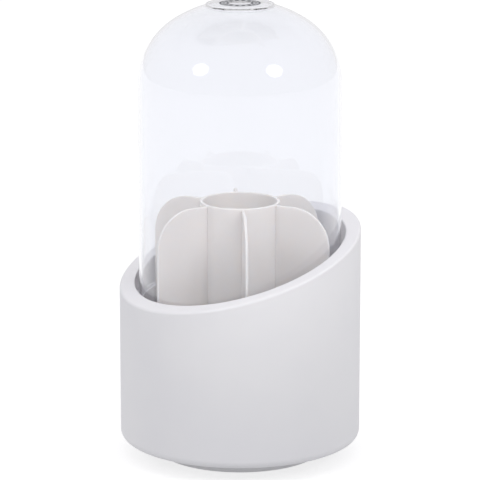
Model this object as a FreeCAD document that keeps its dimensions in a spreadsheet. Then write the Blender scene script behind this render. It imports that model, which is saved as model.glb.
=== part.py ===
import FreeCAD, Part
import math
import os

import Sketcher

# A turning holder for cosmetic brushes: a cup with a divider inside a casing with a slanted rim, a clear dust
# cover over it, and a foot on which the casing turns on a ring of balls.
#
# Frame: the origin is the centre of the plane that the holder rests on, +Z is up, and +Y points to the high side
# of the casing's slanted rim. The plane X = 0 is a mirror plane. All sizes are in millimetres.

# Driving sizes: name, value, what it is.
SIZES = [
    ("casing_radius", 65.0, "outside of the casing"),
    ("casing_wall", 2.2, "wall of the casing, its rim and its skirt"),
    ("casing_round", 4.5, "round of the casing's bottom edge"),
    ("rim_width", 8.3, "from the casing's outside to its mouth"),
    ("rim_low_height", 81.3, "low side of the rim above the casing's bottom"),
    ("rim_rise", 39.1, "how much higher the high side of the rim is"),
    ("rim_outer_round", 2.0, "round of the rim's outer edge"),
    ("rim_inner_round", 0.8, "round of the rim's inner edge"),
    ("base_ring_width", 7.0, "solid ring at the casing's bottom"),
    ("base_ring_height", 5.0, "height of that ring"),
    ("shelf_width", 4.0, "shelf that the bottom plate presses against"),
    ("fit_gap", 0.3, "gap round a piece that drops into another"),
    ("seat_depth", 3.8, "seat of the cover below the low side of the rim"),
    ("seat_rebate", 1.2, "depth of the rebate that holds the cover's edge"),
    ("flange_thickness", 1.8, "cup flange under the rebate"),
    ("flange_lip", 1.5, "lip outside the rebate"),
    ("ledge_thickness", 2.0, "casing ledge that carries the cup's flange"),
    ("seat_overhang", 0.7, "how far the seat reaches inside the cover"),
    ("cup_wall", 1.8, "wall of the cup"),
    ("cup_floor", 2.0, "floor of the cup"),
    ("boss_height", 7.5, "screw boss under the cup's floor"),
    ("boss_radius", 4.0, "outside of a screw boss"),
    ("boss_inset", 4.8, "boss axis inside the cup's outside"),
    ("cover_wall", 1.4, "wall of the cover"),
    ("cover_height", 160.0, "cover from its edge to its top disc"),
    ("cover_draft", 0.3, "how much narrower the cover is at its shoulder"),
    ("shoulder_radius", 40.0, "round of the cover's shoulder"),
    ("crown_ratio", 1.21, "crown radius over cover radius"),
    ("top_disc_radius", 18.5, "flat disc on the cover's top"),
    ("top_disc_edge", 1.2, "height of the disc's edge over the crown"),
    ("top_disc_round", 0.4, "round of the disc's edge"),
    ("divider_gap", 0.6, "gap between the fins and the cup"),
    ("divider_floor", 1.6, "floor of the divider"),
    ("tube_radius", 21.4, "outside of the divider's tube"),
    ("tube_wall", 1.5, "wall of the tube"),
    ("tube_height", 118.3, "tube from the cup's floor to its rim"),
    ("fin_count", 6.0, "fins round the tube"),
    ("fin_thickness", 1.4, "thickness of a fin"),
    ("fin_drop", 0.6, "top of the fins below the tube's rim"),
    ("fin_corner", 20.5, "round of a fin's upper corner"),
    ("foot_radius", 45.0, "outside of the foot"),
    ("foot_wall", 2.2, "wall of the foot"),
    ("foot_floor", 2.2, "floor of the foot"),
    ("foot_height", 8.0, "top of the foot above the rest plane"),
    ("foot_round", 1.0, "round of the foot's bottom edge"),
    ("foot_hub_radius", 14.0, "hub in the middle of the foot"),
    ("foot_rib_count", 6.0, "ribs between hub and track"),
    ("foot_rib_thickness", 1.6, "thickness of a rib"),
    ("turning_gap", 0.5, "gap between foot and casing"),
    ("plate_thickness", 3.0, "bottom plate"),
    ("hub_radius", 5.0, "hub pin under the bottom plate"),
    ("running_gap", 0.08, "gap between the hub pin and the foot's bore"),
    ("ball_radius", 2.5, "bearing ball"),
    ("ball_count", 12.0, "bearing balls"),
    ("ball_gap", 0.2, "gap between a ball and its tracks"),
    ("ball_recess", 1.0, "how deep a ball stands in the plate"),
    ("track_inset", 9.0, "middle of the ball track inside the foot's outside"),
    ("track_land", 1.5, "land of the track beside the balls"),
    ("track_drop", 1.0, "top of the foot's track below the ball centres"),
    ("cage_margin", 1.2, "cage ring beside the balls"),
    ("cage_gap", 0.3, "gap above and below the cage"),
    ("pocket_gap", 0.25, "gap round a ball in its cage pocket"),
    ("screw_radius", 1.5, "shank of a screw"),
    ("screw_hole_gap", 0.2, "gap round a shank that passes through"),
    ("thread_gap", 0.02, "gap round a shank in its pilot hole"),
    ("plate_screw_head", 2.7, "head radius of a plate screw"),
    ("plate_screw_head_height", 1.6, "head height of a plate screw"),
    ("plate_screw_sink", 0.2, "head of a plate screw below the plate's face"),
    ("plate_screw_count", 4.0, "plate screws"),
    ("plate_screw_length", 7.0, "shank of a plate screw"),
    ("pivot_screw_head", 4.0, "head radius of the pivot screw"),
    ("pivot_screw_head_height", 1.8, "head height of the pivot screw"),
    ("pivot_screw_length", 7.0, "shank of the pivot screw"),
    ("pivot_screw_lift", 0.8, "head of the pivot screw above the rest plane"),
    ("pilot_spare", 0.4, "pilot hole beyond a screw's tip"),
    ("screw_tip", 1.0, "length of a screw's pointed tip"),
    ("slot_width", 0.9, "width of the cross recess in a screw head"),
    ("slot_depth", 0.9, "depth of the cross recess"),
    ("washer_radius", 9.0, "pivot washer"),
    ("washer_thickness", 0.8, "pivot washer"),
    ("washer_gap", 0.2, "gap between the washer and the foot"),
    ("washer_side_gap", 2.0, "room round the washer in the foot"),
    ("pad_radius", 4.8, "rubber pad"),
    ("pad_proud", 0.6, "pad below the foot's underside"),
    ("pad_recess", 0.8, "depth of the pad's recess"),
    ("pad_gap", 0.1, "gap round a pad in its recess"),
    ("pad_count", 4.0, "rubber pads"),
]

# Radii that follow from the driving sizes, from the casing inwards.
MOUTH_RADIUS = "(Sizes.casing_radius - Sizes.rim_width)"
SKIRT_RADIUS = f"({MOUTH_RADIUS} + Sizes.casing_wall)"
CASING_INSIDE = "(Sizes.casing_radius - Sizes.casing_wall)"
FLANGE_RADIUS = f"({MOUTH_RADIUS} - Sizes.fit_gap)"
REBATE_RADIUS = f"({FLANGE_RADIUS} - Sizes.flange_lip)"
COVER_RADIUS = f"({REBATE_RADIUS} - Sizes.fit_gap)"
CUP_INSIDE = f"({COVER_RADIUS} - Sizes.cover_wall - Sizes.seat_overhang)"
CUP_RADIUS = f"({CUP_INSIDE} + Sizes.cup_wall)"
LEDGE_RADIUS = f"({CUP_RADIUS} + Sizes.fit_gap)"
DIVIDER_RADIUS = f"({CUP_INSIDE} - Sizes.divider_gap)"
BOSS_CIRCLE = f"({CUP_RADIUS} - Sizes.boss_inset)"
BASE_OPENING = "(Sizes.casing_radius - Sizes.base_ring_width)"
PLATE_RADIUS = f"({BASE_OPENING} - Sizes.fit_gap)"
SHELF_RADIUS = f"({BASE_OPENING} - Sizes.shelf_width)"
TRACK_RADIUS = "(Sizes.foot_radius - Sizes.track_inset)"
TRACK_INSIDE = f"({TRACK_RADIUS} - Sizes.ball_radius - Sizes.track_land)"
TRACK_OUTSIDE = f"({TRACK_RADIUS} + Sizes.ball_radius + Sizes.track_land)"
GROOVE_RADIUS = "(Sizes.ball_radius + Sizes.ball_gap)"

# Levels above the rest plane, from the foot upwards.
FOOT_BOTTOM = "Sizes.pad_proud"
FOOT_FLOOR_TOP = f"({FOOT_BOTTOM} + Sizes.foot_floor)"
PLATE_BOTTOM = "(Sizes.foot_height + Sizes.turning_gap)"
PLATE_TOP = f"({PLATE_BOTTOM} + Sizes.plate_thickness)"
BALL_LEVEL = f"({PLATE_BOTTOM} + Sizes.ball_recess - Sizes.ball_radius)"
TRACK_TOP = f"({BALL_LEVEL} - Sizes.track_drop)"
WASHER_BOTTOM = "(Sizes.pivot_screw_lift + Sizes.pivot_screw_head_height)"
HUB_BOTTOM = f"({WASHER_BOTTOM} + Sizes.washer_thickness)"
CUP_FLOOR_BOTTOM = f"({PLATE_TOP} + Sizes.boss_height)"
CUP_FLOOR_TOP = f"({CUP_FLOOR_BOTTOM} + Sizes.cup_floor)"
RIM_LOW = f"({PLATE_BOTTOM} + Sizes.rim_low_height)"
SEAT_LEVEL = f"({RIM_LOW} - Sizes.seat_depth)"
FLANGE_TOP = f"({SEAT_LEVEL} + Sizes.seat_rebate)"
FLANGE_BOTTOM = f"({SEAT_LEVEL} - Sizes.flange_thickness)"
LEDGE_BOTTOM = f"({FLANGE_BOTTOM} - Sizes.ledge_thickness)"
TUBE_TOP = f"({CUP_FLOOR_TOP} + Sizes.tube_height)"
FIN_TOP = f"({TUBE_TOP} - Sizes.fin_drop)"
COVER_TOP = f"({SEAT_LEVEL} + Sizes.cover_height)"

# Plate screws: where the head sits in the bottom plate, and how much plate the shank passes through.
PLATE_SCREW_SEAT = f"({PLATE_BOTTOM} + Sizes.plate_screw_sink + Sizes.plate_screw_head_height)"
PLATE_SCREW_GRIP = f"({PLATE_TOP} - {PLATE_SCREW_SEAT})"

# Angles in degrees: a full turn, and the direction of the first rubber pad from +X.
FULL_TURN = 360.0
PAD_START = 45.0

doc = FreeCAD.newDocument("BrushHolder")


def fill_sheet():
    """Write the driving sizes to the spreadsheet, one row each."""
    sheet = doc.addObject("Spreadsheet::Sheet", "Sizes")
    for row, (alias, value, meaning) in enumerate(SIZES, start=1):
        sheet.set(f"A{row}", meaning)
        sheet.set(f"B{row}", str(value))
        sheet.setAlias(f"B{row}", alias)
    doc.recompute()


def number(expression):
    """The value of an expression on the sheet, as a plain number."""
    return float(doc.getObject("Sizes").evalExpression(expression))


def new_body(name):
    """An empty body whose label names its node."""
    body = doc.addObject("PartDesign::Body", name)
    body.Label = name
    return body


def origin_feature(body, role):
    """The plane or axis of the body's own origin that has this role."""
    return next(feature for feature in body.Origin.OriginFeatures if feature.Role == role)


def new_sketch(body, name, role="XY_Plane", level=None, across=None):
    """A sketch on one of the body's planes, moved along its normal by level and along its X by across."""
    sketch = body.newObject("Sketcher::SketchObject", f"{body.Name}_{name}_sketch")
    sketch.AttachmentSupport = [(origin_feature(body, role), "")]
    sketch.MapMode = "FlatFace"
    if level:
        sketch.setExpression(".AttachmentOffset.Base.z", level)
    if across:
        sketch.setExpression(".AttachmentOffset.Base.x", across)
    return sketch


def bind(sketch, constraint, expression):
    """Add a dimension to the sketch and bind it to the expression."""
    index = sketch.addConstraint(constraint)
    sketch.setExpression(f"Constraints[{index}]", expression)


def place_point(sketch, geometry, point, across, up):
    """Fix a point of the sketch's geometry at two expressions, measured from the sketch's origin."""
    for kind, expression, axis in (("DistanceX", across, -2), ("DistanceY", up, -1)):
        if expression == "0":
            sketch.addConstraint(Sketcher.Constraint("PointOnObject", geometry, point, axis))
        else:
            bind(sketch, Sketcher.Constraint(kind, -1, 1, geometry, point, number(expression)), expression)


def add_circle(sketch, radius, across="0", up="0"):
    """Add a circle with its radius and centre bound to expressions."""
    centre = FreeCAD.Vector(number(across), number(up), 0)
    circle = Part.Circle(centre, FreeCAD.Vector(0, 0, 1), number(radius))
    geometry = sketch.addGeometry(circle)
    place_point(sketch, geometry, 3, across, up)
    bind(sketch, Sketcher.Constraint("Radius", geometry, number(radius)), radius)


def arc_between(start, end, radius):
    """The arc of this radius that runs counter-clockwise from start to end, through less than half a turn."""
    chord = end - start
    middle = (start + end) * 0.5
    rise = math.sqrt(radius ** 2 - (chord.Length / 2) ** 2)
    left = FreeCAD.Vector(-chord.y, chord.x, 0).normalize()
    centre = middle + left * rise
    first = math.atan2(start.y - centre.y, start.x - centre.x)
    last = math.atan2(end.y - centre.y, end.x - centre.x)
    return Part.ArcOfCircle(Part.Circle(centre, FreeCAD.Vector(0, 0, 1), radius), first, last)


def add_outline(sketch, corners):
    """Add a closed outline that runs counter-clockwise through the corners.

    A corner is (across, up), with a straight line to the next one, or (across, up, radius), with an arc that
    bulges outwards. All are expressions.
    """
    places = [FreeCAD.Vector(number(corner[0]), number(corner[1]), 0) for corner in corners]
    pieces = []
    for index, corner in enumerate(corners):
        start = places[index]
        end = places[(index + 1) % len(places)]
        if len(corner) == 2:
            pieces.append(sketch.addGeometry(Part.LineSegment(start, end)))
        else:
            pieces.append(sketch.addGeometry(arc_between(start, end, number(corner[2]))))
    for index, corner in enumerate(corners):
        following = pieces[(index + 1) % len(pieces)]
        sketch.addConstraint(Sketcher.Constraint("Coincident", pieces[index], 2, following, 1))
        place_point(sketch, pieces[index], 1, corner[0], corner[1])
        if len(corner) == 3:
            bind(sketch, Sketcher.Constraint("Radius", pieces[index], number(corner[2])), corner[2])


def rectangle(left, right, bottom, top):
    """The four corners of a rectangle, for add_outline."""
    return [(left, bottom), (right, bottom), (right, top), (left, top)]


def pad(body, name, sketch, length, symmetric=False):
    """Pad a sketch by a length, along its normal or to both sides."""
    feature = body.newObject("PartDesign::Pad", f"{body.Name}_{name}")
    feature.Profile = sketch
    feature.SideType = "Symmetric" if symmetric else "One side"
    feature.setExpression("Length", length)
    sketch.Visibility = False
    return feature


def check_cut(body, feature, before):
    """Stop if a cutting feature has taken nothing away."""
    doc.recompute()
    if feature.Shape.Volume >= before:
        raise RuntimeError(f"{feature.Name} cuts nothing from {body.Label}")


def pocket(body, name, sketch, length, symmetric=False, upwards=False):
    """Cut a sketch into the body, against its normal, along it or to both sides, and check that it cuts."""
    doc.recompute()
    before = body.Shape.Volume
    feature = body.newObject("PartDesign::Pocket", f"{body.Name}_{name}")
    feature.Profile = sketch
    feature.SideType = "Symmetric" if symmetric else "One side"
    feature.Reversed = upwards
    feature.setExpression("Length", length)
    check_cut(body, feature, before)
    return feature


def add_ring(body, name, outer, inner, bottom, top):
    """Add a disc, or a ring where inner is given, between two levels."""
    sketch = new_sketch(body, name, level=bottom)
    add_circle(sketch, outer)
    if inner:
        add_circle(sketch, inner)
    return pad(body, name, sketch, f"{top} - {bottom}")


def cut_ring(body, name, outer, inner, bottom, top):
    """Cut away a disc, or a ring where inner is given, between two levels."""
    sketch = new_sketch(body, name, level=top)
    add_circle(sketch, outer)
    if inner:
        add_circle(sketch, inner)
    return pocket(body, name, sketch, f"{top} - {bottom}")


def cut_hole(body, name, radius, across, bottom, top):
    """Cut a round hole with its axis on the body's X axis, between two levels."""
    sketch = new_sketch(body, name, level=top)
    add_circle(sketch, radius, across=across)
    return pocket(body, name, sketch, f"{top} - {bottom}")


def cut_ball_track(body):
    """Cut the round groove in which the balls run."""
    doc.recompute()
    before = body.Shape.Volume
    sketch = new_sketch(body, "track", role="XZ_Plane")
    add_circle(sketch, GROOVE_RADIUS, across=TRACK_RADIUS, up=BALL_LEVEL)
    feature = body.newObject("PartDesign::Groove", f"{body.Name}_track")
    feature.Profile = sketch
    feature.ReferenceAxis = (origin_feature(body, "Z_Axis"), [""])
    feature.Angle = FULL_TURN
    check_cut(body, feature, before)


def revolve(body, name, sketch, axis=None):
    """Turn a sketch through a full turn about the body's Z axis, or about the sketch's own vertical axis."""
    feature = body.newObject("PartDesign::Revolution", f"{body.Name}_{name}")
    feature.Profile = sketch
    feature.ReferenceAxis = axis or (origin_feature(body, "Z_Axis"), [""])
    feature.Angle = FULL_TURN
    return feature


def repeat_round(body, name, features, count):
    """Repeat features round the Z axis, count times in a full turn."""
    doc.recompute()
    pattern = body.newObject("PartDesign::PolarPattern", f"{body.Name}_{name}")
    pattern.Originals = features
    pattern.Axis = (origin_feature(body, "Z_Axis"), [""])
    pattern.Angle = FULL_TURN
    pattern.setExpression("Occurrences", count)
    body.Tip = pattern
    return pattern


def ring_edges(shape, radius, level):
    """Names of the edges that run round the Z axis at this radius, at a level that may depend on Y."""
    names = []
    for index, edge in enumerate(shape.Edges, start=1):
        points = edge.discretize(9)
        if all(abs(math.hypot(p.x, p.y) - radius) < 0.01 and abs(p.z - level(p.y)) < 0.01 for p in points):
            names.append(f"Edge{index}")
    return names


def round_edges(body, name, radius, places):
    """Round the edges that lie at the given (radius, level function) places."""
    doc.recompute()
    base = body.Tip
    names = []
    for ring, level in places:
        names += ring_edges(base.Shape, ring, level)
    if not names:
        raise RuntimeError(f"{body.Label} has no edge to round for {name}")
    feature = body.newObject("PartDesign::Fillet", f"{body.Name}_{name}")
    feature.Base = (base, names)
    feature.setExpression("Radius", radius)


def rim_plane(reach):
    """The level of the slanted rim at a distance from the middle, towards the high side."""
    return f"({RIM_LOW} + Sizes.rim_rise / 2 * (1 + {reach} / Sizes.casing_radius))"


def make_outer_casing():
    """Casing with a slanted rim, a skirt and ledge inside its mouth, and a ring and shelf at its bottom."""
    body = new_body("outer_casing")
    reach = "(Sizes.casing_radius * 1.1)"
    back = f"(-1 * {reach})"
    span = f"({reach} * 2)"
    slab = new_sketch(body, "slab", role="YZ_Plane")
    under = "Sizes.casing_wall"
    add_outline(slab, [
        (back, f"{rim_plane(back)} - {under}"),
        (reach, f"{rim_plane(reach)} - {under}"),
        (reach, rim_plane(reach)),
        (back, rim_plane(back)),
    ])
    pad(body, "slab", slab, span, symmetric=True)
    sky = rim_plane(f"({reach} * 1.1)")
    cut_ring(body, "slab_edge", span, "Sizes.casing_radius", "0", sky)
    add_ring(body, "wall", "Sizes.casing_radius", CASING_INSIDE, PLATE_BOTTOM, sky)
    add_ring(body, "skirt", SKIRT_RADIUS, MOUTH_RADIUS, LEDGE_BOTTOM, sky)
    add_ring(body, "ledge", SKIRT_RADIUS, LEDGE_RADIUS, LEDGE_BOTTOM, FLANGE_BOTTOM)
    ring_top = f"({PLATE_BOTTOM} + Sizes.base_ring_height)"
    add_ring(body, "base_ring", "Sizes.casing_radius", BASE_OPENING, PLATE_BOTTOM, ring_top)
    add_ring(body, "shelf", CASING_INSIDE, SHELF_RADIUS, PLATE_TOP, ring_top)
    above = new_sketch(body, "above", role="YZ_Plane")
    top = f"({sky} + 1)"
    add_outline(above, [(back, rim_plane(back)), (reach, rim_plane(reach)), (reach, top), (back, top)])
    pocket(body, "above", above, span, symmetric=True)
    cut_ring(body, "mouth", MOUTH_RADIUS, None, FLANGE_BOTTOM, sky)
    casing = number("Sizes.casing_radius")
    low = number(RIM_LOW)
    rise = number("Sizes.rim_rise")
    bottom = number(PLATE_BOTTOM)

    def slanted(y):
        return low + rise / 2 * (1 + y / casing)

    def level(_):
        return bottom

    round_edges(body, "outer_round", "Sizes.rim_outer_round", [(casing, slanted)])
    round_edges(body, "inner_round", "Sizes.rim_inner_round", [(number(MOUTH_RADIUS), slanted)])
    round_edges(body, "bottom_round", "Sizes.casing_round", [(casing, level)])
    return body


def make_inner_cup():
    """Cup with a flange that hangs in the casing, a rebate for the cover and screw bosses under its floor."""
    body = new_body("inner_cup")
    add_ring(body, "floor", CUP_RADIUS, None, CUP_FLOOR_BOTTOM, CUP_FLOOR_TOP)
    add_ring(body, "wall", CUP_RADIUS, CUP_INSIDE, CUP_FLOOR_BOTTOM, SEAT_LEVEL)
    add_ring(body, "flange", FLANGE_RADIUS, CUP_INSIDE, FLANGE_BOTTOM, SEAT_LEVEL)
    add_ring(body, "lip", FLANGE_RADIUS, REBATE_RADIUS, SEAT_LEVEL, FLANGE_TOP)
    boss_sketch = new_sketch(body, "boss", level=PLATE_TOP)
    add_circle(boss_sketch, "Sizes.boss_radius", across=BOSS_CIRCLE)
    boss = pad(body, "boss", boss_sketch, f"{CUP_FLOOR_BOTTOM} - {PLATE_TOP}")
    repeat_round(body, "bosses", [boss], "Sizes.plate_screw_count")
    depth = f"(Sizes.plate_screw_length - {PLATE_SCREW_GRIP} + Sizes.pilot_spare)"
    pilot = cut_hole(body, "pilot", "(Sizes.screw_radius + Sizes.thread_gap)", BOSS_CIRCLE,
                     PLATE_TOP, f"({PLATE_TOP} + {depth})")
    repeat_round(body, "pilots", [pilot], "Sizes.plate_screw_count")
    return body


def make_bottom_plate():
    """Plate that closes the casing, with the upper ball track, a hub pin and sunk screw holes."""
    body = new_body("bottom_plate")
    add_ring(body, "plate", PLATE_RADIUS, None, PLATE_BOTTOM, PLATE_TOP)
    add_ring(body, "hub", "Sizes.hub_radius", None, HUB_BOTTOM, PLATE_BOTTOM)
    cut_ball_track(body)
    pilot_top = f"({WASHER_BOTTOM} + Sizes.pivot_screw_length + Sizes.pilot_spare)"
    cut_ring(body, "pilot", "(Sizes.screw_radius + Sizes.thread_gap)", None, HUB_BOTTOM, pilot_top)
    hole = cut_hole(body, "screw_hole", "(Sizes.screw_radius + Sizes.screw_hole_gap)", BOSS_CIRCLE,
                    PLATE_BOTTOM, PLATE_TOP)
    repeat_round(body, "screw_holes", [hole], "Sizes.plate_screw_count")
    sink = cut_hole(body, "sink", "(Sizes.plate_screw_head + Sizes.screw_hole_gap)", BOSS_CIRCLE,
                    PLATE_BOTTOM, PLATE_SCREW_SEAT)
    repeat_round(body, "sinks", [sink], "Sizes.plate_screw_count")
    return body


def add_screw(body, across, seat, head, head_height, length):
    """Add a pan-head screw that points up, with its head's upper face at the seat, and cut its cross recess."""
    profile = new_sketch(body, "screw", role="XZ_Plane", across=across)
    shank = "Sizes.screw_radius"
    face = f"({seat} - {head_height})"
    crown = f"({head} - {head_height} / 2)"
    add_outline(profile, [
        ("0", face),
        (crown, face, f"{head_height} / 2"),
        (head, f"({face} + {head_height} / 2)"),
        (head, seat),
        (shank, seat),
        (shank, f"({seat} + {length} - Sizes.screw_tip)"),
        ("0", f"({seat} + {length})"),
    ])
    screw = revolve(body, "screw", profile, axis=(profile, ["V_Axis"]))
    recess = []
    for name, wide, tall in (("recess_a", head, "Sizes.slot_width"), ("recess_b", "Sizes.slot_width", head)):
        sketch = new_sketch(body, name, level=face, across=across)
        add_outline(sketch, rectangle(f"(-{wide} / 2)", f"{wide} / 2", f"(-{tall} / 2)", f"{tall} / 2"))
        recess.append(pocket(body, name, sketch, "Sizes.slot_depth", upwards=True))
    return [screw] + recess


def make_plate_screws():
    """The screws that clamp bottom plate, casing and cup together, as separate solids in one node."""
    body = new_body("plate_screws")
    body.AllowCompound = True
    features = add_screw(body, BOSS_CIRCLE, PLATE_SCREW_SEAT, "Sizes.plate_screw_head",
                         "Sizes.plate_screw_head_height", "Sizes.plate_screw_length")
    repeat_round(body, "screws", features, "Sizes.plate_screw_count")
    return body


def make_pivot_screw():
    """The screw that holds washer and foot to the hub pin."""
    body = new_body("pivot_screw")
    add_screw(body, None, WASHER_BOTTOM, "Sizes.pivot_screw_head",
              "Sizes.pivot_screw_head_height", "Sizes.pivot_screw_length")
    return body


def make_pivot_washer():
    """The washer between the pivot screw's head and the hub pin."""
    body = new_body("pivot_washer")
    hole = "(Sizes.screw_radius + Sizes.screw_hole_gap)"
    add_ring(body, "washer", "Sizes.washer_radius", hole, WASHER_BOTTOM, HUB_BOTTOM)
    return body


def make_turntable_foot():
    """Foot with a wall, the lower ball track, a bored hub, ribs, and recesses for the washer and the pads."""
    body = new_body("turntable_foot")
    add_ring(body, "floor", "Sizes.foot_radius", None, FOOT_BOTTOM, FOOT_FLOOR_TOP)
    wall_inside = "(Sizes.foot_radius - Sizes.foot_wall)"
    add_ring(body, "wall", "Sizes.foot_radius", wall_inside, FOOT_BOTTOM, "Sizes.foot_height")
    add_ring(body, "track_ring", TRACK_OUTSIDE, TRACK_INSIDE, FOOT_BOTTOM, TRACK_TOP)
    add_ring(body, "hub", "Sizes.foot_hub_radius", None, FOOT_BOTTOM, "Sizes.foot_height")
    rib_sketch = new_sketch(body, "rib", level=FOOT_BOTTOM)
    half = "Sizes.foot_rib_thickness / 2"
    add_outline(rib_sketch, rectangle("(Sizes.foot_hub_radius / 2)", f"({TRACK_INSIDE} + Sizes.track_land / 2)",
                                      f"(-{half})", half))
    rib = pad(body, "rib", rib_sketch, f"{TRACK_TOP} - {FOOT_BOTTOM}")
    repeat_round(body, "ribs", [rib], "Sizes.foot_rib_count")
    cut_ball_track(body)
    bore = "(Sizes.hub_radius + Sizes.running_gap)"
    cut_ring(body, "bore", bore, None, "0", "Sizes.foot_height")
    recess = "(Sizes.washer_radius + Sizes.washer_side_gap)"
    cut_ring(body, "washer_recess", recess, None, "0", f"({HUB_BOTTOM} + Sizes.washer_gap)")
    pad_recess = new_sketch(body, "pad_recess", level=f"({FOOT_BOTTOM} + Sizes.pad_recess)")
    diagonal = f"({TRACK_RADIUS} * cos({PAD_START}))"
    add_circle(pad_recess, "(Sizes.pad_radius + Sizes.pad_gap)", across=diagonal, up=diagonal)
    first = pocket(body, "pad_recess", pad_recess, f"{FOOT_BOTTOM} + Sizes.pad_recess")
    repeat_round(body, "pad_recesses", [first], "Sizes.pad_count")

    def level(_):
        return number(FOOT_BOTTOM)

    round_edges(body, "bottom_round", "Sizes.foot_round", [(number("Sizes.foot_radius"), level)])
    return body


def make_foot_pads():
    """Rubber pads that stand proud of the foot, one node each."""
    pads = []
    for index in range(int(number("Sizes.pad_count"))):
        foot_pad = doc.addObject("Part::Cylinder", f"foot_pad_{index + 1}")
        foot_pad.Label = f"foot_pad_{index + 1}"
        foot_pad.setExpression("Radius", "Sizes.pad_radius")
        foot_pad.setExpression("Height", f"{FOOT_BOTTOM} + Sizes.pad_recess")
        angle = f"({PAD_START} + {index} * {FULL_TURN} / Sizes.pad_count)"
        foot_pad.setExpression(".Placement.Base.x", f"{TRACK_RADIUS} * cos({angle})")
        foot_pad.setExpression(".Placement.Base.y", f"{TRACK_RADIUS} * sin({angle})")
        pads.append(foot_pad)
    return pads


def make_ball_cage():
    """Ring with a round pocket for each ball."""
    body = new_body("ball_cage")
    outer = f"({TRACK_RADIUS} + Sizes.ball_radius + Sizes.cage_margin)"
    inner = f"({TRACK_RADIUS} - Sizes.ball_radius - Sizes.cage_margin)"
    bottom = f"({TRACK_TOP} + Sizes.cage_gap)"
    top = f"({PLATE_BOTTOM} - Sizes.cage_gap)"
    add_ring(body, "ring", outer, inner, bottom, top)
    sketch = new_sketch(body, "pocket", level=top)
    angle = f"({FULL_TURN} / 2 / Sizes.ball_count)"
    add_circle(sketch, "(Sizes.ball_radius + Sizes.pocket_gap)",
               across=f"({TRACK_RADIUS} * cos({angle}))", up=f"({TRACK_RADIUS} * sin({angle}))")
    first = pocket(body, "pocket", sketch, f"{top} - {bottom}")
    repeat_round(body, "pockets", [first], "Sizes.ball_count")
    return body


def make_balls():
    """Bearing balls, one node each, half a pitch away from the X axis."""
    balls = []
    for index in range(int(number("Sizes.ball_count"))):
        ball = doc.addObject("Part::Sphere", f"ball_{index + 1}")
        ball.Label = f"ball_{index + 1}"
        ball.setExpression("Radius", "Sizes.ball_radius")
        angle = f"(({index} + 0.5) * {FULL_TURN} / Sizes.ball_count)"
        ball.setExpression(".Placement.Base.x", f"{TRACK_RADIUS} * cos({angle})")
        ball.setExpression(".Placement.Base.y", f"{TRACK_RADIUS} * sin({angle})")
        ball.setExpression(".Placement.Base.z", BALL_LEVEL)
        balls.append(ball)
    return balls


def make_divider():
    """Divider: a tube, a floor and fins with rounded upper corners, in one moulding."""
    body = new_body("divider")
    add_ring(body, "floor", DIVIDER_RADIUS, None, CUP_FLOOR_TOP, f"({CUP_FLOOR_TOP} + Sizes.divider_floor)")
    bore = "(Sizes.tube_radius - Sizes.tube_wall)"
    add_ring(body, "tube", "Sizes.tube_radius", bore, CUP_FLOOR_TOP, TUBE_TOP)
    sketch = new_sketch(body, "fin", role="YZ_Plane")
    root = "(Sizes.tube_radius - Sizes.tube_wall / 2)"
    corner = "Sizes.fin_corner"
    add_outline(sketch, [
        (root, CUP_FLOOR_TOP),
        (DIVIDER_RADIUS, CUP_FLOOR_TOP),
        (DIVIDER_RADIUS, f"({FIN_TOP} - {corner})", corner),
        (f"({DIVIDER_RADIUS} - {corner})", FIN_TOP),
        (root, FIN_TOP),
    ])
    fin = pad(body, "fin", sketch, "Sizes.fin_thickness", symmetric=True)
    repeat_round(body, "fins", [fin], "Sizes.fin_count")
    return body


# Centre of the crown arc: the top disc's edge stands a set height over the crown.
CROWN_RADIUS = f"({COVER_RADIUS} * Sizes.crown_ratio)"
TOP_DISC_BOTTOM = f"({COVER_TOP} - Sizes.top_disc_edge)"
CROWN_CENTRE = f"({TOP_DISC_BOTTOM} - sqrt({CROWN_RADIUS} ^ 2 - Sizes.top_disc_radius ^ 2))"


def dome_corners(inset, flat):
    """Outline of the cover's outside, or of its hollow where inset is the wall, with a flat top at a level.

    The wall runs up to a shoulder arc, and the shoulder runs into a flatter crown arc centred on the axis.
    """
    edge = f"({COVER_RADIUS} - {inset})"
    neck = f"({COVER_RADIUS} - Sizes.cover_draft - {inset})"
    shoulder = f"(Sizes.shoulder_radius - {inset})"
    crown = f"({CROWN_RADIUS} - {inset})"
    spread = f"({neck} - {shoulder})"
    fall = f"sqrt(({crown} - {shoulder}) ^ 2 - {spread} ^ 2)"
    meeting_across = f"({spread} * {crown} / ({crown} - {shoulder}))"
    meeting_up = f"({CROWN_CENTRE} + {fall} * {crown} / ({crown} - {shoulder}))"
    return [
        ("0", SEAT_LEVEL),
        (edge, SEAT_LEVEL),
        (neck, f"({CROWN_CENTRE} + {fall})", shoulder),
        (meeting_across, meeting_up, crown),
        (f"sqrt({crown} ^ 2 - ({flat} - {CROWN_CENTRE}) ^ 2)", flat),
        ("0", flat),
    ]


def make_clear_cover():
    """Cover with a domed top and a flat disc on it, open at the bottom."""
    body = new_body("clear_cover")
    outside = new_sketch(body, "outside", role="XZ_Plane")
    add_outline(outside, dome_corners("0", TOP_DISC_BOTTOM))
    revolve(body, "outside", outside)
    add_ring(body, "top_disc", "Sizes.top_disc_radius", None, TOP_DISC_BOTTOM, COVER_TOP)
    doc.recompute()
    before = body.Shape.Volume
    hollow = new_sketch(body, "hollow", role="XZ_Plane")
    add_outline(hollow, dome_corners("Sizes.cover_wall", f"({COVER_TOP} - Sizes.cover_wall)"))
    groove = body.newObject("PartDesign::Groove", f"{body.Name}_hollow")
    groove.Profile = hollow
    groove.ReferenceAxis = (origin_feature(body, "Z_Axis"), [""])
    groove.Angle = FULL_TURN
    check_cut(body, groove, before)
    top = number(COVER_TOP)
    round_edges(body, "top_round", "Sizes.top_disc_round", [(number("Sizes.top_disc_radius"), lambda _: top)])
    return body


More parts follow.
